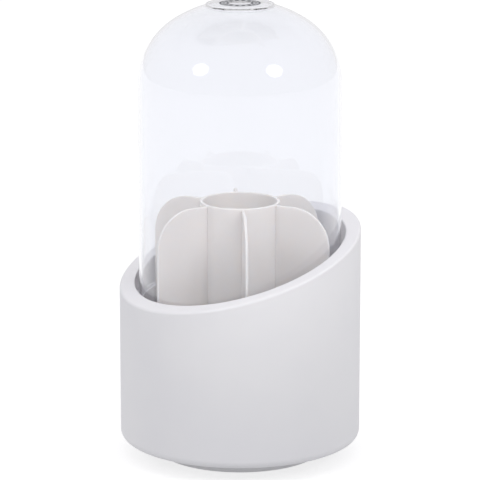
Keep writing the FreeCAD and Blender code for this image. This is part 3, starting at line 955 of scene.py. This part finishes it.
@dataclass
class Base:
    """Bottom plate, its screws, and the pivot's washer and screw, in millimetres."""

    bearing: Bearing
    thickness: float = 3.0
    hub_radius: float = 5.0
    shank: float = 1.5
    thread_gap: float = 0.02
    hole_gap: float = 0.2
    hole_sides: int = 50
    pilot_top: float = 10.0
    edge_round: float = 0.2
    washer_round: float = 0.12
    head: float = 2.7
    head_height: float = 1.6
    head_sink: float = 0.2
    pivot_head: float = 4.0
    pivot_head_height: float = 1.8
    screw_count: int = 4
    slot_width: float = 0.9
    slot_depth: float = 0.9
    slot_share: float = 0.5
    tip: float = 1.0

    def screw(self, name: str, seat: float, top: float, head: float, head_height: float) -> bpy.types.Object:
        """A pan-head screw on the Z axis that points up, with a cross recess.

        Args:
            name: Name of the piece.
            seat: Level of the head's upper face.
            top: Level of the tip.
            head: Radius of the head.
            head_height: Height of the head.

        Returns:
            The screw.
        """
        face = seat - head_height
        crown = head_height / 2
        screw = turned(
            name,
            [
                (0.0, face),
                *arc((head - crown, face + crown), crown, -90.0, 0.0, steps=6),
                (head, seat),
                (self.shank, seat),
                (self.shank, top - self.tip),
                (0.0, top),
            ],
            steps=48,
        )
        half, wide = self.slot_width / 2, head * self.slot_share
        low, high = face - OVERREACH, face + self.slot_depth
        cuts = [
            block("slot", (-wide, -half, low), (wide, half, high)),
            block("slot", (-half, -wide, low), (half, wide, high)),
        ]
        combine(screw, cuts, Operation.CUT)
        polish(screw)
        return screw

    def plate(self, span: Span, place: Point, seat: float) -> None:
        """Make the bottom plate with its hub, its ball track and the screws' holes.

        The number of the holes' sides is chosen so that no corner falls on a radial edge of the turned plate.

        Args:
            span: Where the plate's node lies.
            place: Place of the first screw's axis.
            seat: Level of the screws' seats.
        """
        face = span.top - self.thickness
        pilot = self.shank + self.thread_gap
        plate = turned(
            "base_plate",
            [
                (0.0, self.pilot_top),
                (pilot, self.pilot_top),
                (pilot, span.bottom),
                (self.hub_radius, span.bottom),
                (self.hub_radius, face),
                *self.bearing.groove(face, from_outside=False),
                (span.reach, face),
                (span.reach, span.top),
                (0.0, span.top),
            ],
        )
        low, high = face - OVERREACH, span.top + OVERREACH
        hole = rod("hole", self.shank + self.hole_gap, place, low, high, self.hole_sides)
        sink = rod("sink", self.head + self.hole_gap, place, low, seat, self.hole_sides)
        cuts = turned_copies(hole, self.screw_count) + turned_copies(sink, self.screw_count)
        combine(plate, cuts, Operation.CUT)
        soften(plate, self.edge_round, segments=2)
        polish(plate)
        finish_piece(plate, FOOT_ABS.material(), Body.CASING, Slot.CASING, "bottom_plate")

    def pivot(self, zinc: bpy.types.Material) -> None:
        """Make the screw and the washer that hold the foot to the hub.

        Args:
            zinc: Material of both.
        """
        span = Span.of("pivot_washer")
        top = Span.of("pivot_screw").top
        pivot = self.screw("pivot_pin", span.bottom, top, self.pivot_head, self.pivot_head_height)
        finish_piece(pivot, zinc, Body.CASING, Slot.SCREW, "pivot_screw")
        hole = self.shank + self.hole_gap
        washer = turned(
            "pivot_ring",
            [(hole, span.bottom), (span.reach, span.bottom), (span.reach, span.top), (hole, span.top)],
            steps=96,
        )
        soften(washer, self.washer_round, segments=2)
        polish(washer)
        finish_piece(washer, zinc, Body.CASING, Slot.SCREW, "pivot_washer")

    def build(self) -> None:
        """Make the plate, the screws and the washer."""
        plate_span = Span.of("bottom_plate")
        screws_span = Span.of("plate_screws")
        place = (screws_span.reach - self.head, 0.0)
        seat = plate_span.top - self.thickness + self.head_sink + self.head_height
        self.plate(plate_span, place, seat)
        zinc = SCREW_ZINC.material()
        screw = self.screw("plate_screw_set", seat, screws_span.top, self.head, self.head_height)
        settle(screw, metres(*place, 0.0))
        screws = turned_copies(screw, self.screw_count)
        join(screw, screws[1:])
        finish_piece(screw, zinc, Body.CASING, Slot.SCREW, "plate_screws")
        self.pivot(zinc)


@dataclass
class Casing:
    """Casing with a slanted rim, a skirt and ledge in its mouth, and a ring and shelf at its bottom."""

    wall: float = 2.2
    bottom_round: float = 4.5
    rim_width: float = 8.3
    rim_low_height: float = 81.3
    rim_rise: float = 39.1
    outer_round: float = 1.3
    inner_round: float = 0.8
    ring_width: float = 7.0
    ring_height: float = 5.0
    shelf_width: float = 4.0
    flange_height: float = 3.0
    ledge_thickness: float = 2.0
    ledge_overhang: float = 2.1
    spare_height: float = 20.0

    def __post_init__(self) -> None:
        """Read where the casing's node lies."""
        self.span = Span.of("outer_casing")

    def rim(self, y: float, below: float = 0.0) -> float:
        """Level of the slanted rim, or of a plane below it.

        Args:
            y: Place along Y.
            below: How far the plane lies below the rim.

        Returns:
            The level.
        """
        slant = self.rim_rise / 2 * (1 + y / self.span.reach)
        return self.span.bottom + self.rim_low_height + slant - below

    def cut_top(self, piece: bpy.types.Object, radii: tuple[float, float], below: float) -> None:
        """Cut two of the casing's walls along the slant and bridge them.

        Args:
            piece: Casing with walls that stand too tall.
            radii: Radii of the two walls.
            below: How far the cut lies below the rim.
        """
        normal = Vector((0.0, -self.rim_rise / 2 / self.span.reach, 1.0)).normalized()

        def on_walls(place: Vector) -> bool:
            """Whether a place lies on one of the two walls."""
            return min(abs(math.hypot(place.x, place.y) - radius) for radius in radii) < ON_WALL

        choose_faces(piece, on_walls)
        bpy.ops.mesh.bisect(
            plane_co=metres(0.0, 0.0, self.rim(0.0, below)),
            plane_no=normal,
            clear_outer=True,
            clear_inner=False,
        )
        chosen = choose_edges(
            piece, lambda place: on_walls(place) and abs(place.z - self.rim(place.y, below)) < NEAR
        )
        bpy.ops.mesh.bridge_edge_loops()
        bpy.ops.object.mode_set(mode="OBJECT")
        log.info("slant cut %.1f mm below the rim: %d edges bridged", below, chosen)

    def round_rim(self, piece: bpy.types.Object, radius: float, width: float) -> None:
        """Round one of the rim's two edges.

        Args:
            piece: Casing with its rim cut.
            radius: Radius at which the edge runs.
            width: Width of the rounding.
        """
        choose_edges(
            piece,
            lambda place: abs(math.hypot(place.x, place.y) - radius) < NEAR
            and abs(place.z - self.rim(place.y)) < NEAR,
        )
        bpy.ops.mesh.bevel(offset=width * MM, segments=8, affect="EDGES", offset_type="OFFSET")
        bpy.ops.object.mode_set(mode="OBJECT")

    def build(self) -> None:
        """Make the casing."""
        plate_top = Span.of("bottom_plate").top
        flange_bottom = Span.of("inner_cup").top - self.flange_height
        reach, bottom = self.span.reach, self.span.bottom
        tall = self.span.top + self.spare_height
        mouth = reach - self.rim_width
        ring_inside = reach - self.ring_width
        ring_top = bottom + self.ring_height
        rounded = self.bottom_round
        casing = turned(
            "casing_shell",
            [
                (reach, tall),
                *arc((reach - rounded, bottom + rounded), rounded, 0.0, -90.0, steps=12),
                (ring_inside, bottom),
                (ring_inside, plate_top),
                (ring_inside - self.shelf_width, plate_top),
                (ring_inside - self.shelf_width, ring_top),
                (reach - self.wall, ring_top),
                (reach - self.wall, tall),
            ],
            steps=256,
            closed=False,
        )
        skirt = turned(
            "skirt",
            [
                (mouth + self.wall, tall),
                (mouth + self.wall, flange_bottom - self.ledge_thickness),
                (mouth - self.ledge_overhang, flange_bottom - self.ledge_thickness),
                (mouth - self.ledge_overhang, flange_bottom),
                (mouth, flange_bottom),
                (mouth, tall),
            ],
            steps=256,
            closed=False,
        )
        join(casing, [skirt])
        self.cut_top(casing, (reach, mouth), 0.0)
        self.cut_top(casing, (reach - self.wall, mouth + self.wall), self.wall)
        bpy.ops.object.mode_set(mode="EDIT")
        tidy_mesh()
        self.round_rim(casing, reach, self.outer_round)
        self.round_rim(casing, mouth, self.inner_round)
        polish(casing)
        finish_piece(casing, CASING_ABS.material(), Body.CASING, Slot.CASING, "outer_casing")


@dataclass
class Cup:
    """Cup that hangs in the casing by its flange, with a rebate for the cover and screw bosses below."""

    wall: float = 1.8
    floor: float = 2.0
    floor_height: float = 7.5
    flange_thickness: float = 1.8
    rebate: float = 1.2
    lip: float = 1.5
    seat_width: float = 2.4
    boss_radius: float = 4.0
    boss_inset: float = 4.8
    pilot_radius: float = 1.52
    pilot_depth: float = 6.2
    boss_count: int = 4
    edge_round: float = 0.25

    def build(self) -> None:
        """Make the cup."""
        span = Span.of("inner_cup")
        plate_top = Span.of("bottom_plate").top
        seat = span.top - self.rebate
        inside = span.reach - self.lip - self.seat_width
        outside = inside + self.wall
        floor_bottom = plate_top + self.floor_height
        cup = turned(
            "cup_moulding",
            [
                (0.0, floor_bottom),
                (outside, floor_bottom),
                (outside, seat - self.flange_thickness),
                (span.reach, seat - self.flange_thickness),
                (span.reach, span.top),
                (span.reach - self.lip, span.top),
                (span.reach - self.lip, seat),
                (inside, seat),
                (inside, floor_bottom + self.floor),
                (0.0, floor_bottom + self.floor),
            ],
            steps=256,
        )
        soften(cup, self.edge_round)
        middle = (outside - self.boss_inset, 0.0)
        boss_top = floor_bottom + self.floor / 2
        pilot_bottom, pilot_top = plate_top - OVERREACH, plate_top + self.pilot_depth
        boss = rod("boss", self.boss_radius, middle, plate_top, boss_top, sides=48)
        pilot = rod("pilot", self.pilot_radius, middle, pilot_bottom, pilot_top, sides=32)
        combine(cup, turned_copies(boss, self.boss_count), Operation.ADD)
        combine(cup, turned_copies(pilot, self.boss_count), Operation.CUT)
        polish(cup)
        finish_piece(cup, CASING_ABS.material(), Body.CASING, Slot.CASING, "inner_cup")


@dataclass
class Divider:
    """Tube and fins with rounded upper corners on a thin floor, in millimetres."""

    floor: float = 1.6
    tube_radius: float = 21.4
    tube_wall: float = 1.5
    fin_count: int = 6
    fin_thickness: float = 1.4
    fin_drop: float = 0.6
    fin_corner: float = 20.5
    edge_round: float = 0.2

    def fin(self, span: Span) -> bpy.types.Object:
        """One fin towards +Y, with its outer upper corner rounded.

        Args:
            span: Where the divider's node lies.

        Returns:
            The fin.
        """
        half = self.fin_thickness / 2
        fin_top = span.top - self.fin_drop
        fin = block(
            "fin",
            (-half, self.tube_radius - self.tube_wall / 2, span.bottom + self.floor / 2),
            (half, span.reach, fin_top),
        )
        choose_edges(fin, lambda place: place.z > fin_top - NEAR and place.y > span.reach - NEAR)
        bpy.ops.mesh.bevel(offset=self.fin_corner * MM, segments=28, affect="EDGES", offset_type="OFFSET")
        bpy.ops.object.mode_set(mode="OBJECT")
        soften(fin, self.edge_round, angle=60.0)
        return fin

    def build(self) -> None:
        """Make the divider."""
        low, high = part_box("divider")
        span = Span(reach=high.y / MM, bottom=low.z / MM, top=high.z / MM)
        bore = self.tube_radius - self.tube_wall
        floor_top = span.bottom + self.floor
        divider = turned(
            "divider_moulding",
            [
                (0.0, span.bottom),
                (span.reach, span.bottom),
                (span.reach, floor_top),
                (self.tube_radius, floor_top),
                (self.tube_radius, span.top),
                (bore, span.top),
                (bore, floor_top),
                (0.0, floor_top),
            ],
        )
        soften(divider, self.edge_round)
        combine(divider, turned_copies(self.fin(span), self.fin_count), Operation.ADD)
        polish(divider)
        finish_piece(divider, DIVIDER_PP.material(), Body.DIVIDER, Slot.DIVIDER, "divider")


@dataclass
class Cover:
    """Clear cover: a straight wall, a shoulder arc, a flatter crown and a flat disc on top, in millimetres."""

    wall: float = 1.4
    draft: float = 0.3
    shoulder_radius: float = 40.0
    crown_ratio: float = 1.21
    disc_radius: float = 18.5
    disc_edge: float = 1.2
    disc_round: float = 1.1
    edge_round: float = 0.5
    mark_radius: float = 11.0
    mark_line: float = 1.1
    mark_dots: int = 16
    mark_dot_radius: float = 1.0
    mark_dot_room: float = 2.6
    mark_film: float = 0.05
    mark_lift: float = 0.01

    def shell(self, span: Span, inset: float, flat: float) -> list[Point]:
        """Profile of the outside, or of the hollow where inset is the wall, from the shoulder inwards.

        Args:
            span: Where the cover's node lies.
            inset: Distance inside the outside face.
            flat: Level at which the crown is cut flat.

        Returns:
            Points from the top of the straight wall to the edge of the flat.
        """
        neck = span.reach - self.draft - inset
        shoulder = self.shoulder_radius - inset
        full_crown = span.reach * self.crown_ratio
        crown = full_crown - inset
        centre = span.top - self.disc_edge - math.sqrt(full_crown ** 2 - self.disc_radius ** 2)
        across = neck - shoulder
        rise = math.sqrt((crown - shoulder) ** 2 - across ** 2)
        meeting = math.degrees(math.atan2(rise, across))
        end = 90.0 - math.degrees(math.acos((flat - centre) / crown))
        return [
            *arc((across, centre + rise), shoulder, 0.0, meeting, steps=28),
            *arc((0.0, centre), crown, meeting, end, steps=14)[1:],
        ]

    def build(self) -> None:
        """Make the cover and the mark printed on its top disc."""
        span = Span.of("clear_cover")
        disc_bottom = span.top - self.disc_edge
        rounded = self.disc_round
        outside = [
            (span.reach, span.bottom),
            *self.shell(span, 0.0, disc_bottom),
            *arc((self.disc_radius - rounded, span.top - rounded), rounded, 0.0, 90.0, steps=10),
            (0.0, span.top),
        ]
        inside = [
            (span.reach - self.wall, span.bottom),
            *self.shell(span, self.wall, span.top - self.wall),
            (0.0, span.top - self.wall),
        ]
        cover = turned("dust_cover", outside[::-1] + inside, steps=256)
        choose_edges(cover, lambda place: place.z < span.bottom + NEAR)
        bpy.ops.mesh.bevel(offset=self.edge_round * MM, segments=4, affect="EDGES", offset_type="OFFSET")
        bpy.ops.object.mode_set(mode="OBJECT")
        polish(cover)
        finish_piece(cover, COVER_STYRENE.material(), Body.COVER, Slot.COVER, "clear_cover")
        self.print_mark(span.top)

    def print_mark(self, level: float) -> None:
        """Print a plain ring of dots between two thin rings on the top disc.

        Args:
            level: Level of the disc's face.
        """
        bottom, top = level + self.mark_lift, level + self.mark_film

        def ring(radius: float) -> bpy.types.Object:
            """A thin printed ring.

            Args:
                radius: Its outer radius.

            Returns:
                The ring.
            """
            inner = radius - self.mark_line
            section = [(inner, bottom), (radius, bottom), (radius, top), (inner, top)]
            return turned("ring", section, steps=96)

        mark = ring(self.mark_radius)
        gap = self.mark_line + self.mark_dot_room
        middle = (self.mark_radius - (gap + self.mark_line) / 2, 0.0)
        dot = rod("dot", self.mark_dot_radius, middle, bottom, top, sides=24)
        join(mark, [ring(self.mark_radius - gap)] + turned_copies(dot, self.mark_dots))
        mark.name = mark.data.name = "top_mark"
        polish(mark)
        finish_piece(mark, MARK_INK.material(), Body.COVER, None)


# ----------------------------------------------------------------------------------------------------
# Studio
# ----------------------------------------------------------------------------------------------------


def direction(azimuth: float, elevation: float) -> Vector:
    """Unit vector from the object towards a place round it.

    Args:
        azimuth: Angle round the Z axis in degrees, 0 at the -Y side.
        elevation: Angle above the floor in degrees.

    Returns:
        The vector.
    """
    around, above = math.radians(azimuth), math.radians(elevation)
    flat = math.cos(above)
    return Vector((math.sin(around) * flat, -math.cos(around) * flat, math.sin(above)))


def place_lamp(data: bpy.types.Light, target: Vector, back: Vector, distance: float) -> bpy.types.Object:
    """Hang a lamp so that it faces a target.

    Args:
        data: The lamp's light.
        target: Place that the lamp faces.
        back: Unit vector from the target to the lamp.
        distance: Distance from the target in metres.

    Returns:
        The lamp's object.
    """
    lamp = bpy.data.objects.new(data.name, data)
    bpy.context.scene.collection.objects.link(lamp)
    lamp.location = target + back * distance
    lamp.rotation_euler = (-back).to_track_quat("-Z", "Y").to_euler()
    return lamp


@dataclass(frozen=True)
class Softbox:
    """A round soft lamp, placed by its direction from the object."""

    name: str
    azimuth: float
    elevation: float
    distance: float
    diameter: float
    watts: float
    colour: str = "#FFFFFF"

    def hang(self, target: Vector) -> None:
        """Add the lamp.

        Args:
            target: Place that it faces, in metres.
        """
        data = bpy.data.lights.new(self.name, "AREA")
        data.shape = "DISK"
        data.size = self.diameter
        data.energy = self.watts
        data.color = linear(self.colour)[:3]
        place_lamp(data, target, direction(self.azimuth, self.elevation), self.distance)


@dataclass(frozen=True)
class Snoot:
    """A narrow lamp that lights one place and shows in no mirror, placed like a softbox."""

    name: str
    azimuth: float
    elevation: float
    distance: float
    cone: float
    watts: float
    colour: str = "#FFFFFF"
    radius: float = 0.06
    blend: float = 0.8

    def hang(self, target: Vector) -> None:
        """Add the lamp.

        Args:
            target: Place that it faces, in metres.
        """
        back = direction(self.azimuth, self.elevation)
        data = bpy.data.lights.new(self.name, "SPOT")
        data.spot_size = math.radians(self.cone)
        data.spot_blend = self.blend
        data.shadow_soft_size = self.radius
        data.energy = self.watts
        data.color = linear(self.colour)[:3]
        lamp = place_lamp(data, target, back, self.distance)
        lamp.visible_glossy = False
        lamp.visible_transmission = False


@dataclass
class Studio:
    """Pale floor, soft light from all round, softboxes and the camera, in metres and degrees."""

    azimuth: float = 56.0
    distance: float = 1.5322
    camera_height: float = 0.48786
    aim_height: float = 0.11732
    lens: float = 219.74
    floor_radius: float = 6.0
    floor_drop: float = 0.0001
    floor_colour: str = "#ACACAD"
    floor_glow: float = 0.68
    floor_lift: float = 0.26
    air_colour: str = "#FBFAFB"
    horizon_light: float = 0.46
    zenith_light: float = 1.1
    mirrored_light: float = 0.75
    bent_light: float = 1.1
    tent_edge: float = 0.0
    softbox_elevation: float = 33.5
    softbox_distance: float = 1.6
    softbox_step: float = 0.01
    softbox_diameter: float = 0.5
    softbox_taper: float = 0.12
    left_offset: float = -51.0
    left_watts: tuple[float, ...] = (1.3, 0.8, 0.7)
    right_offset: float = 44.0
    right_watts: tuple[float, ...] = (1.5, 1.0, 0.8)
    mouth_height: float = 0.12
    sensor_width: float = 36.0

    def floor(self) -> None:
        """Lay a round floor of opal acrylic, lit from below, under the object.

        Its glow is seen and mirrored in full, but lifts the object's underside only a little.
        """
        clear_selection()
        bpy.ops.mesh.primitive_circle_add(
            vertices=96, radius=self.floor_radius, fill_type="NGON", location=(0.0, 0.0, -self.floor_drop)
        )
        floor = start_piece("studio_floor")
        material, tree = new_material("acrylic_opal_lit_from_below")
        settings = {
            "Base Color": linear(self.floor_colour),
            "Roughness": 0.9,
            "Specular IOR Level": 0.1,
            "Emission Color": linear("#FFFFFF"),
        }
        scattered = add_node(tree, "ShaderNodeLightPath").outputs["Is Diffuse Ray"]
        steps = {"To Min": self.floor_glow, "To Max": self.floor_lift}
        glow = add_node(tree, "ShaderNodeMapRange", steps, {"Value": scattered}).outputs["Result"]
        shader = add_node(tree, "ShaderNodeBsdfPrincipled", settings, {"Emission Strength": glow})
        close_material(tree, shader.outputs["BSDF"])
        floor.data.materials.append(material)
        floor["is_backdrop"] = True

    def air(self) -> None:
        """Fill the room with soft light that grows from the horizon to the zenith, as in a light tent.

        Mirrored rays see an even, slightly darker room instead, and rays bent by the clear cover an even white
        one, so that the cover stays pale and its outline shows.
        """
        world = bpy.data.worlds.new("studio_air")
        world.use_nodes = True
        tree = world.node_tree
        tree.nodes.clear()
        outwards = add_node(tree, "ShaderNodeTexCoord").outputs["Generated"]
        height = add_node(tree, "ShaderNodeSeparateXYZ", links={0: outwards}).outputs["Z"]
        steps = {
            "interpolation_type": "SMOOTHSTEP",
            "From Min": self.tent_edge,
            "To Min": self.horizon_light,
            "To Max": self.zenith_light,
        }
        strength = add_node(tree, "ShaderNodeMapRange", steps, {"Value": height}).outputs["Result"]
        path = add_node(tree, "ShaderNodeLightPath")
        for ray, seen in (("Is Glossy Ray", self.mirrored_light), ("Is Transmission Ray", self.bent_light)):
            settings = {"data_type": "FLOAT", "B": seen}
            links = {0: path.outputs[ray], "A": strength}
            strength = add_node(tree, "ShaderNodeMix", settings, links).outputs["Result"]
        settings = {"Color": linear(self.air_colour)}
        light = add_node(tree, "ShaderNodeBackground", settings, {"Strength": strength})
        add_node(tree, "ShaderNodeOutputWorld", links={"Surface": light.outputs["Background"]})
        bpy.context.scene.world = world

    def softboxes(self) -> list[Softbox]:
        """The softbox on each side of the camera, each a stack of discs that is brightest in its middle.

        Returns:
            The discs, the widest of each side first.
        """
        sides = (
            ("left_softbox", self.left_offset, self.left_watts),
            ("right_softbox", self.right_offset, self.right_watts),
        )
        return [
            Softbox(
                name + part,
                self.azimuth + offset,
                self.softbox_elevation,
                self.softbox_distance - layer * self.softbox_step,
                self.softbox_diameter - layer * self.softbox_taper,
                discs[layer],
            )
            for name, offset, discs in sides
            for layer, part in enumerate(("", "_middle", "_core"))
        ]

    def snoots(self) -> list[Snoot]:
        """The two snoots that reach into the casing's mouth.

        Returns:
            The snoots.
        """
        right, front = self.azimuth + 32.0, self.azimuth + 4.0
        return [
            Snoot("right_snoot", right, elevation=34.0, distance=1.4, cone=5.6, watts=16.0, colour="#FFFCF8"),
            Snoot("front_snoot", front, elevation=24.0, distance=1.4, cone=5.2, watts=20.0, colour="#FFFCF8"),
        ]

    def lamps(self) -> None:
        """Hang the softboxes round the object and the snoots round its mouth."""
        low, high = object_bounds()
        for softbox in self.softboxes():
            softbox.hang((low + high) / 2)
        for snoot in self.snoots():
            snoot.hang(Vector((0.0, 0.0, self.mouth_height)))

    def camera(self) -> None:
        """Set up the camera and a plain view of the colours."""
        data = bpy.data.cameras.new("studio_camera")
        data.lens = self.lens
        data.sensor_width = self.sensor_width
        camera = bpy.data.objects.new("studio_camera", data)
        scene = bpy.context.scene
        scene.collection.objects.link(camera)
        angle = math.radians(self.azimuth)
        camera.location = (
            self.distance * math.sin(angle), -self.distance * math.cos(angle), self.camera_height
        )
        aim = Vector((0.0, 0.0, self.aim_height)) - camera.location
        camera.rotation_euler = aim.to_track_quat("-Z", "Y").to_euler()
        scene.camera = camera
        scene.view_settings.view_transform = "Standard"

    def build(self) -> None:
        """Build the whole studio."""
        self.floor()
        self.air()
        self.lamps()
        self.camera()


def main() -> None:
    """Build every sub-assembly and the studio."""
    logging.basicConfig(level=logging.INFO, format="%(name)s: %(message)s")
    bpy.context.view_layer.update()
    bearing = Bearing()
    for assembly in (bearing, Foot(bearing), Base(bearing), Casing(), Cup(), Divider(), Cover(), Studio()):
        log.info("building %s", type(assembly).__name__)
        assembly.build()
    clear_selection()


if __name__ == "__main__":
    main()
